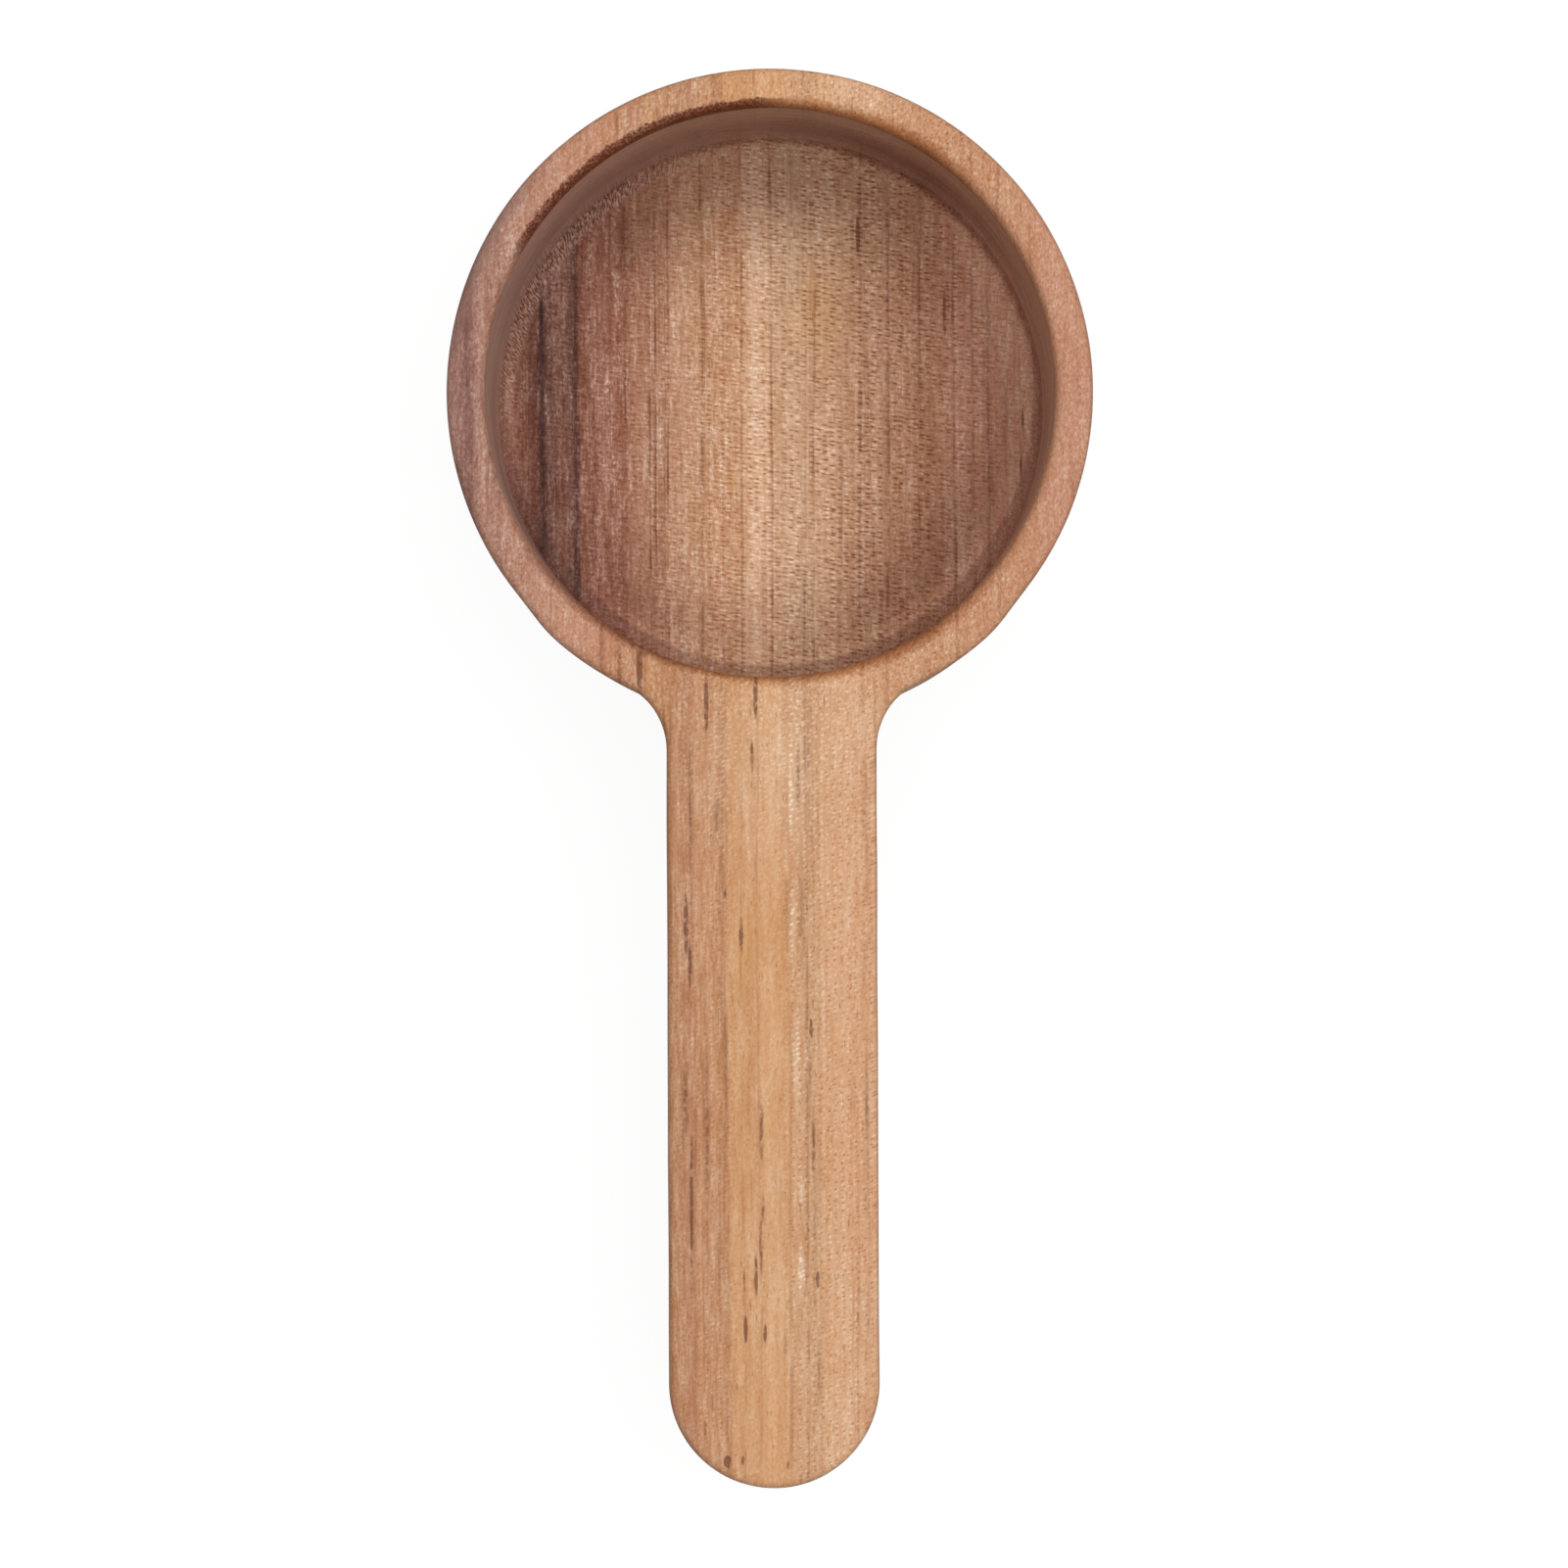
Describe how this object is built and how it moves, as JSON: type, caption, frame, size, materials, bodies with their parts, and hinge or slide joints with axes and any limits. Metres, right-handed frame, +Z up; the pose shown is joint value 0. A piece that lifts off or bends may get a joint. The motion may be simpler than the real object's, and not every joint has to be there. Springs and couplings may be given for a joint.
{
  "type": "measuring spoon",
  "caption": "Round straight-sided wooden measuring spoon with a flat base, a bored hollow and a short flat handle level with the rim, for scooping dry goods.",
  "frame": {"origin": "centre of the cup's flat base, on the surface that the spoon stands on", "axes": "+Z up along the cup's axis, +Y away from the handle, +X to the right with the handle towards the viewer"},
  "size_m": [0.052, 0.114, 0.0225],
  "materials": {
    "oiled_wood": "satin"
  },
  "bodies": {
    "root": {"spoon": "oiled_wood"}
  },
  "joints": []
}
